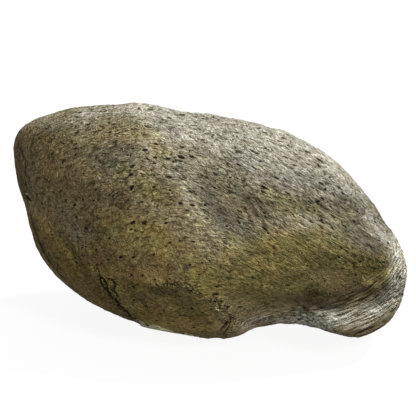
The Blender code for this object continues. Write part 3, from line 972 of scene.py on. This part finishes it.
@dataclass
class Weathering:
    """Carves pits, ripples, laminae and grain into the skin, by a Geometry Nodes tree."""

    sizes: dict[str, float] = field(
        default_factory=lambda: {
            "Pit Spacing": 0.0075,
            "Pit Density": 10000.0,
            "Smallest Pit": 0.0009,
            "Largest Pit": 0.0015,
            "Pit Depth": 1.3,
            "Lump Height": 0.0045,
            "Chop Height": 0.0050,
            "Ripple Height": 0.0056,
            "Lamina Height": 0.0050,
            "Grain Height": 0.0030,
        }
    )
    seed: int = 12
    pit_groups: Pattern = Pattern(0.045)
    pit_rim: Pattern = Pattern(0.0030, 1.0)
    pit_wall: tuple[float, float] = (0.25, 1.15)
    pit_raggedness: float = 0.4
    pit_stretch: float = 0.62
    rare_large_pits: float = 4.0
    lumps: Pattern = Pattern(0.052, 1.0)
    chop: Pattern = Pattern(0.015, 2.0, 0.6, 0.3, Along.FLOW, (0.55, 1.0, 0.8))
    ripples: Pattern = Pattern(0.0070, 1.0, 0.5, 0.8, Along.FLOW, (0.55, 1.0, 0.7))
    laminae: Pattern = Pattern(0.0040, 1.5, 0.5, 0.2, Along.LAMINA, (0.08, 1.0, 0.35))
    grain: Pattern = Pattern(0.0042, 1.0)
    ground_fade: tuple[float, float] = (0.0005, 0.012)
    lowest_corner: Triple = (-9.0, -9.0, 0.0)

    def carve(
        self, skin: bpy.types.Object, pits: bpy.types.Object, finish: bpy.types.Material
    ) -> bpy.types.Object:
        """Runs the tree on the skin and keeps the plain result.

        Args:
            skin: The relief-free skin.
            pits: Loose points of the named pits.
            finish: The stone's material.

        Returns:
            The carved skin as a new object.
        """
        tree, inputs = self._tree()
        modifier = skin.modifiers.new("weathering", "NODES")
        modifier.node_group = tree
        given = self.sizes | {"Seed": self.seed, "Named Pits": pits, "Finish": finish}
        for name, value in given.items():
            modifier[inputs[name]] = value
        graph = bpy.context.evaluated_depsgraph_get()
        mesh = bpy.data.meshes.new_from_object(
            skin.evaluated_get(graph), preserve_all_data_layers=True, depsgraph=graph
        )
        mesh.name = "weathered_boulder"
        skin.modifiers.clear()
        stone = bpy.data.objects.new("weathered_boulder", mesh)
        bpy.context.scene.collection.objects.link(stone)
        for spent in (skin, pits):
            bpy.data.objects.remove(spent)
        mesh.shade_smooth()
        return stone

    def _tree(self) -> tuple[bpy.types.NodeTree, dict[str, str]]:
        """Builds the node tree.

        Returns:
            The tree, and the identifier of each named input.
        """
        tree = bpy.data.node_groups.new("weathering", "GeometryNodeTree")
        for side in ("INPUT", "OUTPUT"):
            tree.interface.new_socket("Geometry", in_out=side, socket_type="NodeSocketGeometry")
        kinds = dict.fromkeys(self.sizes, "Float")
        kinds |= {"Seed": "Int", "Named Pits": "Object", "Finish": "Material"}
        inputs = {}
        for name, kind in kinds.items():
            socket = tree.interface.new_socket(name, in_out="INPUT", socket_type=f"NodeSocket{kind}")
            inputs[name] = socket.identifier
        graph = Graph(tree)
        group = tree.nodes.new("NodeGroupInput")
        given = {socket.name: Wire(graph, socket) for socket in group.outputs if socket.name}
        skin = given["Geometry"]
        position = graph.node("GeometryNodeInputPosition")
        cloud = self._pit_cloud(graph, skin, given)
        away, pit_depth = self._pits(graph, cloud, position)
        relief = self._relief(graph, position, given) + self._read(graph, "carved")
        clear = graph.node("ShaderNodeSeparateXYZ", None, {0: position}, "Z").step(*self.ground_fade)
        rise = (relief - pit_depth * given["Pit Depth"]) * clear
        skin = self._keep(graph, skin, "relief", relief)
        skin = self._keep(graph, skin, "pit", FAR_FROM_PITS - (FAR_FROM_PITS - away) * clear)
        skin = self._keep(graph, skin, "rise", rise)
        offset = graph.vector("SCALE", graph.node("GeometryNodeInputNormal"), self._read(graph, "rise"))
        skin = graph.node("GeometryNodeSetPosition", None, {"Geometry": skin, "Offset": offset})
        grounded = graph.vector("MAXIMUM", graph.node("GeometryNodeInputPosition"), self.lowest_corner)
        skin = graph.node("GeometryNodeSetPosition", None, {"Geometry": skin, "Position": grounded})
        skin = graph.node("GeometryNodeRealizeInstances", None, {"Geometry": skin})
        skin = graph.node("GeometryNodeSetMaterial", None, {"Geometry": skin, "Material": given["Finish"]})
        end = tree.nodes.new("NodeGroupOutput")
        tree.links.new(skin.socket, end.inputs[0])
        return tree, inputs

    @staticmethod
    def _read(graph: Graph, name: str, kind: str = "FLOAT") -> Wire:
        """The stored attribute of this name."""
        return graph.node(
            "GeometryNodeInputNamedAttribute", {"data_type": kind}, {"Name": name}, "Attribute"
        )

    @staticmethod
    def _keep(graph: Graph, geometry: Wire, name: str, value: Wire) -> Wire:
        """The geometry, with a number stored at each point under this name."""
        return graph.node(
            "GeometryNodeStoreNamedAttribute",
            {"data_type": "FLOAT", "domain": "POINT"},
            {"Geometry": geometry, "Name": name, "Value": value},
        )

    def _pit_cloud(self, graph: Graph, skin: Wire, given: dict[str, Wire]) -> Wire:
        """Points with a radius each: pits scattered all over, and the named ones.

        Args:
            graph: The tree.
            skin: The skin's geometry.
            given: The tree's inputs.

        Returns:
            The point cloud.
        """
        position = graph.node("GeometryNodeInputPosition")
        grouped = graph.noise({Along.PLACE: position}, self.pit_groups).step(0.38, 0.62, 0.30, 1.0)
        rough, foot = self._read(graph, "rough"), self._read(graph, "foot")
        share = (rough * 0.65 + 0.15) * grouped * (1.0 - foot * 0.8)
        scattered = graph.node(
            "GeometryNodeDistributePointsOnFaces",
            {"distribute_method": "POISSON"},
            {
                "Mesh": skin,
                "Distance Min": given["Pit Spacing"],
                "Density Max": given["Pit Density"],
                "Density Factor": share,
                "Seed": given["Seed"],
            },
            "Points",
        )
        chance = graph.node(
            "FunctionNodeRandomValue", {"data_type": "FLOAT"}, {"Seed": given["Seed"]}, "Value"
        )
        low, high = given["Smallest Pit"], given["Largest Pit"]
        radius = low + (high - low) * chance**self.rare_large_pits
        scattered = self._keep(graph, scattered, "pit_radius", radius)
        named = graph.node("GeometryNodeObjectInfo", None, {"Object": given["Named Pits"]}, "Geometry")
        named = graph.node("GeometryNodeMeshToPoints", None, {"Mesh": named})
        joined = graph.tree.nodes.new("GeometryNodeJoinGeometry")
        for part in (scattered, named):
            graph.tree.links.new(part.socket, joined.inputs[0])
        return Wire(graph, joined.outputs[0])

    def _pits(self, graph: Graph, cloud: Wire, position: Wire) -> tuple[Wire, Wire]:
        """How far each point of the skin is from the middle of its nearest pit.

        Args:
            graph: The tree.
            cloud: The pits' centres.
            position: Where the skin is.

        Returns:
            The distance, in radii of the pit, and the pit's depth there in metres.
        """
        index = graph.node("GeometryNodeSampleNearest", {"domain": "POINT"}, {"Geometry": cloud})
        centre, radius = (
            graph.node(
                "GeometryNodeSampleIndex",
                {"data_type": kind, "domain": "POINT"},
                {"Geometry": cloud, "Value": value, "Index": index},
            )
            for kind, value in (("FLOAT_VECTOR", position), ("FLOAT", self._read(graph, "pit_radius")))
        )
        away = graph.vector("SUBTRACT", position, centre)
        way = self._read(graph, "way", "FLOAT_VECTOR")
        length = graph.vector("DOT_PRODUCT", away, way, out="Value")
        reach = graph.vector("LENGTH", away, out="Value")
        squeezed = (reach * reach - length * length * self.pit_stretch).highest(0.0) ** 0.5
        ragged = graph.swing({Along.PLACE: position}, self.pit_rim) * self.pit_raggedness
        share = (squeezed / radius + ragged).lowest(FAR_FROM_PITS)
        return share, share.step(*self.pit_wall, 1.0, 0.0) * radius

    def _relief(self, graph: Graph, position: Wire, given: dict[str, Wire]) -> Wire:
        """Height of the lumps, ripples, laminae and grain.

        Args:
            graph: The tree.
            position: Where the skin is.
            given: The tree's inputs.

        Returns:
            The height, in metres.
        """
        rough, foot = self._read(graph, "rough"), self._read(graph, "foot")
        follow = {
            Along.PLACE: position,
            Along.FLOW: self._read(graph, "flow", "FLOAT_VECTOR"),
            Along.LAMINA: self._read(graph, "lamina", "FLOAT_VECTOR"),
        }
        lumps = graph.swing(follow, self.lumps) * given["Lump Height"]
        grain = graph.swing(follow, self.grain) * given["Grain Height"] * (rough * 0.5 + 0.5)
        chop = graph.swing(follow, self.chop) * given["Chop Height"]
        ripples = graph.swing(follow, self.ripples) * given["Ripple Height"]
        laminae = graph.swing(follow, self.laminae) * given["Lamina Height"]
        amount = rough * 0.80 + 0.18
        return lumps + grain + (chop + ripples) * amount * (1.0 - foot) + laminae * foot


# Finishes


@dataclass(frozen=True)
class Coat:
    """One colour that lies over the stone where its mark says, with an edge that noise moves.

    The onset is the strength at which the coat begins and the one at which it is whole. On the sides that
    the front chart doesn't show, the coat follows the unseen pattern instead of its mark.
    """

    mark: str
    colour: Triple
    onset: tuple[float, float]
    cover: float = 1.0
    wander: float = 0.0
    drift: float = 0.0
    unseen: str | None = None
    unseen_band: tuple[float, float] = (0.0, 1.0)
    unseen_strength: float = 0.0


@dataclass(frozen=True)
class StoneFinish:
    """Grey-buff weathered stone with brown weathering, an olive film, lichen-dark spots, and painted light
    and shade.
    """

    brown: Triple = (0.270, 0.202, 0.094)
    coats: tuple[Coat, ...] = (
        Coat(
            "drab", (0.243, 0.215, 0.132), onset=(0.0, 1.0), wander=0.2,
            unseen="mottling", unseen_band=(0.40, 0.60), unseen_strength=0.6,
        ),
        Coat(
            "bare", (0.470, 0.444, 0.352), onset=(-0.05, 1.0), wander=0.30,
            unseen="blotches", unseen_band=(0.35, 0.65), unseen_strength=0.8,
        ),
        Coat(
            "grey", (0.198, 0.179, 0.120), onset=(0.10, 0.95), cover=0.85, wander=-0.35,
            unseen="blotches", unseen_band=(0.55, 0.40), unseen_strength=0.6,
        ),
        Coat(
            "film", (0.288, 0.228, 0.060), onset=(0.05, 1.10), cover=0.68, drift=1.0,
            unseen="hidden_film", unseen_band=(0.45, 0.70), unseen_strength=0.7,
        ),
        Coat("orange", (0.335, 0.230, 0.078), onset=(0.2, 1.0), cover=0.6, wander=0.3),
        Coat("dark", (0.070, 0.066, 0.034), onset=(0.30, 0.75), cover=0.75, drift=0.8),
    )
    fern: Triple = (0.250, 0.228, 0.064)
    fern_onset: tuple[float, float] = (0.42, 0.62)
    fern_drift: float = -0.1
    # Partly painted light: the crust's colour is paler than the stone's to stand in for reflected light.
    crust_and_painted_light: Triple = (0.74, 0.68, 0.43)
    crust_onset: tuple[float, float] = (0.30, 0.65)
    # Painted shade: the near-black painted into the pits, cracks, grooves and pinholes.
    painted_hole_shade: Triple = (0.020, 0.015, 0.008)
    dim_tint: Triple = (1.05, 1.0, 0.84)
    lit_tint: Triple = (0.98, 1.0, 1.08)
    # Painted shade: how strongly the pits, cracks, grooves and pinholes are painted with that near-black.
    pit_darkness: float = 0.96
    crack_darkness: float = 0.90
    groove_darkness: float = 0.80
    pinhole_darkness: float = 0.95
    # Painted shade and highlight: how much lighter a metre of carved height is painted.
    painted_light_a_metre: float = 145.0
    middle_light: float = 1.03
    least_light: float = 0.15
    pinhole_spacing: float = 0.0076
    pinhole_stretch: Triple = (0.45, 1.0, 0.8)
    specular: float = 0.12
    roughness: tuple[float, float] = (0.80, 0.96)
    blotches: Pattern = Pattern(0.060, 3.0, 0.55)
    mottling: Pattern = Pattern(0.014, 3.0, 0.6)
    drifts: Pattern = Pattern(0.030, 3.0, 0.6)
    hidden_film: Pattern = Pattern(0.110, 3.0, 0.5)
    ferns: Pattern = Pattern(0.024, 2.0, 0.6)
    sheen: Pattern = Pattern(0.006)
    fine_grain: Pattern = Pattern(0.0028, 2.0, 0.6)
    grit: Pattern = Pattern(0.0042, 1.0, 0.6, 0.5)
    streaks: Pattern = Pattern(0.0044, 3.0, 0.62, 0.8, Along.FLOW, (0.45, 1.0, 0.8))
    specks: Pattern = Pattern(0.0034, 2.0, 0.7, 0.4, Along.FLOW, (0.50, 1.0, 0.8))
    layer_edges: Pattern = Pattern(0.0026, 2.0, 0.6, 0.25, Along.LAMINA, (0.07, 1.0, 0.3))
    layer_bands: Pattern = Pattern(0.0030, 3.0, 0.7, 0.25, Along.LAMINA, (0.07, 1.0, 0.3))

    def material(self) -> bpy.types.Material:
        """Builds the stone's material.

        Returns:
            The material.
        """
        material = bpy.data.materials.new("weathered_stone")
        material.use_nodes = True
        graph = Graph(material.node_tree)
        follow = {
            Along.PLACE: graph.node("ShaderNodeTexCoord", None, None, "Object"),
            Along.FLOW: self._stored(graph, "flow", "Vector"),
            Along.LAMINA: self._stored(graph, "lamina", "Vector"),
        }
        marks = {name: self._stored(graph, name, "Fac") for name in PATCH_NAMES + OTHER_MARK_NAMES}
        noises = {
            name: graph.noise(follow, pattern)
            for name, pattern in vars(self).items()
            if isinstance(pattern, Pattern)
        }
        pinhole, pinhole_depth = self._pinholes(graph, follow[Along.FLOW], marks)
        colour = self._coats(graph, noises, marks)
        colour = graph.vector("MULTIPLY", colour, self._light_and_shade(graph, noises, marks))
        # Painted shade: the pits, cracks, grooves and pinholes are painted near black.
        painted_hole_shade = self._painted_hollow_shade(noises, marks).highest(pinhole)
        height = self._fine_relief(noises, marks) - pinhole_depth * 2.0
        relief = {"Strength": 1.0, "Distance": MILLIMETRE, "Height": height}
        bump = graph.node("ShaderNodeBump", None, relief)
        surface = graph.node(
            "ShaderNodeBsdfPrincipled",
            None,
            {
                "Base Color": graph.mix(painted_hole_shade, colour, self.painted_hole_shade),
                "Roughness": noises["sheen"].step(0.3, 0.7, *self.roughness),
                "Normal": bump,
                "Specular IOR Level": self.specular,
            },
        )
        end = graph.tree.nodes.new("ShaderNodeOutputMaterial")
        graph.tree.links.new(surface.socket, end.inputs["Surface"])
        return material

    @staticmethod
    def _stored(graph: Graph, name: str, out: str) -> Wire:
        """What the mesh stores under this name."""
        return graph.node("ShaderNodeAttribute", {"attribute_name": name}, None, out)

    def _pinholes(self, graph: Graph, flow: Wire, marks: dict[str, Wire]) -> tuple[Wire, Wire]:
        """Pinholes too small to be carved, drawn out along the streaks, painted dark as painted shade and
        dented in the bump.

        Args:
            graph: The tree.
            flow: Coordinates along and across the streaks.
            marks: The stored marks.

        Returns:
            How much painted shade darkens each pinhole, and its depth in half millimetres.
        """
        place = graph.vector("MULTIPLY", flow, self.pinhole_stretch)
        distance = graph.node(
            "ShaderNodeTexVoronoi",
            {"voronoi_dimensions": "3D", "feature": "F1"},
            {"Vector": place, "Scale": 1.0 / self.pinhole_spacing, "Randomness": 1.0},
            "Distance",
        )
        chance = graph.node("ShaderNodeSeparateColor", None, {0: distance.beside("Color")}, "Red")
        size = (chance - 0.36).highest(0.0) * 0.52
        size = size * (marks["rough"] * 0.3 + 0.8) * (1.0 - marks["foot"] * 0.7)
        inside = (1.0 - distance / size.highest(0.001)).highest(0.0)
        dark = inside.step(0.0, 0.25)
        return dark * self.pinhole_darkness, dark * size * 9.0

    def _coats(self, graph: Graph, noises: dict[str, Wire], marks: dict[str, Wire]) -> Wire:
        """Colours of the bare stone and of the stains, film and crust on it; the crust's paleness is partly
        painted light.

        Args:
            graph: The tree.
            noises: The finish's patterns as noises, by name.
            marks: The stored marks.

        Returns:
            The colour, before light and shade.
        """
        mottle = noises["mottling"] - 0.5
        wander = (noises["blotches"] - 0.5) * 1.1 + mottle * 0.8
        drift = mottle * 0.9 + (noises["drifts"] - 0.5) * 0.9
        fern = (noises["ferns"] + drift * self.fern_drift).step(*self.fern_onset)
        colour: Wire | Triple = self.brown
        for coat in self.coats:
            strength = marks[coat.mark] + wander * coat.wander + drift * coat.drift
            if coat.unseen:
                behind = (1.0 - marks["front"]) * coat.unseen_strength
                strength = strength + noises[coat.unseen].step(*coat.unseen_band) * behind
            over = graph.mix(fern, coat.colour, self.fern) if coat.mark == "film" else coat.colour
            colour = graph.mix(strength.step(*coat.onset) * coat.cover, colour, over)
        # Painted light in part: the pale crust stands in for light reflected onto the crumbs.
        broken = 1.0 + mottle * 2.0 + (noises["specks"] - 0.5) * 3.0
        return graph.mix((marks["crust_and_painted_light"] * broken).step(*self.crust_onset), colour, self.crust_and_painted_light)

    def _light_and_shade(self, graph: Graph, noises: dict[str, Wire], marks: dict[str, Wire]) -> Wire:
        """How the stone's own specks, mottling and laminae, and painted light and shade, brighten, darken
        and tint
        the stone: painted shade and highlight on the relief, the streaks and the crumbs, painted highlights
        on the pits' rims, and the bleach and stain patches' painted light and shade.

        Args:
            graph: The tree.
            noises: The finish's patterns as noises, by name.
            marks: The stored marks.

        Returns:
            What the stone's colour is multiplied by, channel by channel.
        """
        shade = (noises["specks"] - 0.5) * 2.2 + (noises["mottling"] - 0.5) * 0.5
        # Painted shade and highlight: the crumbs' grit and the streaks are also bumps, and are painted
        # lighter on their crests and darker in their grooves.
        shade = shade + (noises["grit"].step(0.38, 0.62) - 0.5) * marks["crumbs"] * 1.1
        shade = shade + (noises["streaks"] - 0.5) * (marks["rough"] * 1.5 + 1.9) * (1.0 - marks["foot"])
        shade = shade + (noises["layer_bands"] - 0.5) * marks["foot"] * 6.8
        # Painted highlight: a lighter ring round the rim of each pit.
        shade = shade + marks["pit"].step(0.95, 1.25) * marks["pit"].step(1.4, 2.2, 1.0, 0.0) * 0.55
        # Painted shade and highlight: high places of the carved relief are painted lighter and low places
        # darker.
        shade = (shade + marks["relief"] * self.painted_light_a_metre + self.middle_light).highest(self.least_light)
        tint = graph.mix(shade.step(0.3, 1.6), self.dim_tint, self.lit_tint)
        return graph.vector("SCALE", tint, shade * (marks["painted_light_and_tone"] * 1.4 + 0.3))

    def _painted_hollow_shade(self, noises: dict[str, Wire], marks: dict[str, Wire]) -> Wire:
        """How much painted shade darkens the pits, the cracks and the grooves between the streaks.

        Args:
            noises: The finish's patterns as noises, by name.
            marks: The stored marks.

        Returns:
            The darkness, from 0 to 1.
        """
        speck, mottle = noises["specks"] - 0.5, noises["mottling"] - 0.5
        pit = (marks["pit"] + speck * 0.5).step(0.88, 0.62) * self.pit_darkness
        crack = (marks["crack"] + speck * 3.2 + mottle * 2.0).step(0.42, 0.90) * self.crack_darkness
        groove = noises["streaks"].step(0.42, 0.33) * (1.0 - marks["foot"]) * (marks["rough"] * 0.6 + 0.4)
        return pit.highest(crack).highest(groove * self.groove_darkness)

    @staticmethod
    def _fine_relief(noises: dict[str, Wire], marks: dict[str, Wire]) -> Wire:
        """Height of the grain, streaks, laminae and crumbs that are too fine to be carved.

        Args:
            noises: The finish's patterns as noises, by name.
            marks: The stored marks.

        Returns:
            The height, in millimetres.
        """
        streaks = noises["streaks"] * (marks["rough"] * 16.0 + 12.0) * (1.0 - marks["foot"])
        laminae = noises["layer_edges"] * marks["foot"] * 14.0
        crumbs = noises["grit"] * marks["crumbs"] * 16.0
        return noises["fine_grain"] * 5.5 + streaks + laminae + crumbs


@dataclass(frozen=True)
class FloorFinish:
    """Matt white studio floor, lit a little from within like a light table."""

    colour: Triple = (0.09, 0.09, 0.09)
    glow: float = 0.92

    def material(self) -> bpy.types.Material:
        """Builds the floor's material.

        Returns:
            The material.
        """
        material = bpy.data.materials.new("studio_white")
        material.use_nodes = True
        surface = material.node_tree.nodes["Principled BSDF"]
        surface.inputs["Base Color"].default_value = (*self.colour, 1.0)
        surface.inputs["Roughness"].default_value = 1.0
        surface.inputs["Specular IOR Level"].default_value = 0.0
        surface.inputs["Emission Color"].default_value = (1.0, 1.0, 1.0, 1.0)
        surface.inputs["Emission Strength"].default_value = self.glow
        return material


# The studio


@dataclass
class Studio:
    """The white floor, the soft light from above and behind, and the camera."""

    floor_reach: float = 14.0
    key_direction: Triple = (0.50, 0.24, 0.83)
    key_strength: float = 4.5
    key_spread: float = math.radians(14.0)
    fill_direction: Triple = (0.35, -0.66, 0.66)
    fill_strength: float = 1.8
    fill_spread: float = math.radians(12.0)
    sky_low: float = 0.29
    sky_high: float = 0.54
    sky_turn: tuple[float, float] = (-0.2, 1.0)
    white: tuple[float, ...] = (1.0, 1.0, 1.0, 1.0)

    def build(self, chart: FrontChart) -> None:
        """Sets up floor, lights and camera.

        Args:
            chart: The front chart, which the camera sees square on.
        """
        self._floor()
        self._sky()
        self._lamp("key", self.key_direction, self.key_strength, self.key_spread)
        self._lamp("fill", self.fill_direction, self.fill_strength, self.fill_spread)
        scene = bpy.context.scene
        scene.camera = chart.camera()
        scene.view_settings.view_transform = "Standard"

    def _floor(self) -> None:
        """Lays the floor."""
        grid = bmesh.new()
        bmesh.ops.create_grid(grid, x_segments=1, y_segments=1, size=self.floor_reach)
        mesh = bpy.data.meshes.new("studio_floor")
        grid.to_mesh(mesh)
        grid.free()
        mesh.materials.append(FloorFinish().material())
        floor = bpy.data.objects.new("studio_floor", mesh)
        bpy.context.scene.collection.objects.link(floor)
        floor.visible_diffuse = False
        floor.visible_glossy = False
        floor.visible_shadow = False

    def _sky(self) -> None:
        """Soft light from all round, brighter from above and from the key's side."""
        world = bpy.data.worlds.new("soft_light")
        bpy.context.scene.world = world
        world.use_nodes = True
        graph = Graph(world.node_tree)
        direction = graph.node("ShaderNodeTexCoord", None, None, "Generated")
        toward = graph.vector("DOT_PRODUCT", direction, self.key_direction, out="Value")
        strength = toward.step(*self.sky_turn, self.sky_low, self.sky_high)
        light = graph.node("ShaderNodeBackground", None, {"Color": self.white, "Strength": strength})
        end = graph.tree.nodes.new("ShaderNodeOutputWorld")
        graph.tree.links.new(light.socket, end.inputs["Surface"])

    @staticmethod
    def _lamp(name: str, direction: Triple, strength: float, spread: float) -> None:
        """Adds one far soft lamp.

        Args:
            name: The lamp's name.
            direction: Where it shines from.
            strength: Its strength.
            spread: The angle that it fills, in radians.
        """
        lamp = bpy.data.lights.new(name, "SUN")
        lamp.energy = strength
        lamp.angle = spread
        holder = bpy.data.objects.new(name, lamp)
        holder.rotation_euler = Vector(direction).to_track_quat("Z", "Y").to_euler()
        bpy.context.scene.collection.objects.link(holder)


def main() -> None:
    """Builds the stone and the studio round it."""
    logging.basicConfig(level=logging.INFO, format="%(name)s: %(message)s")
    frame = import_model()
    chart = FrontChart()
    skin = StoneSkin(frame["nodes"][SOLID], chart, FrontMarks())
    plain = skin.build()
    log.info("skin laid: %d faces", len(plain.data.polygons))
    finish = StoneFinish().material()
    stone = Weathering().carve(plain, skin.named_pits(), finish)
    log.info("stone carved: %d triangles", sum(len(face.vertices) - 2 for face in stone.data.polygons))
    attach(stone, "root")
    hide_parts(SOLID)
    Studio().build(chart)
    log.info("studio ready")


if __name__ == "__main__":
    main()
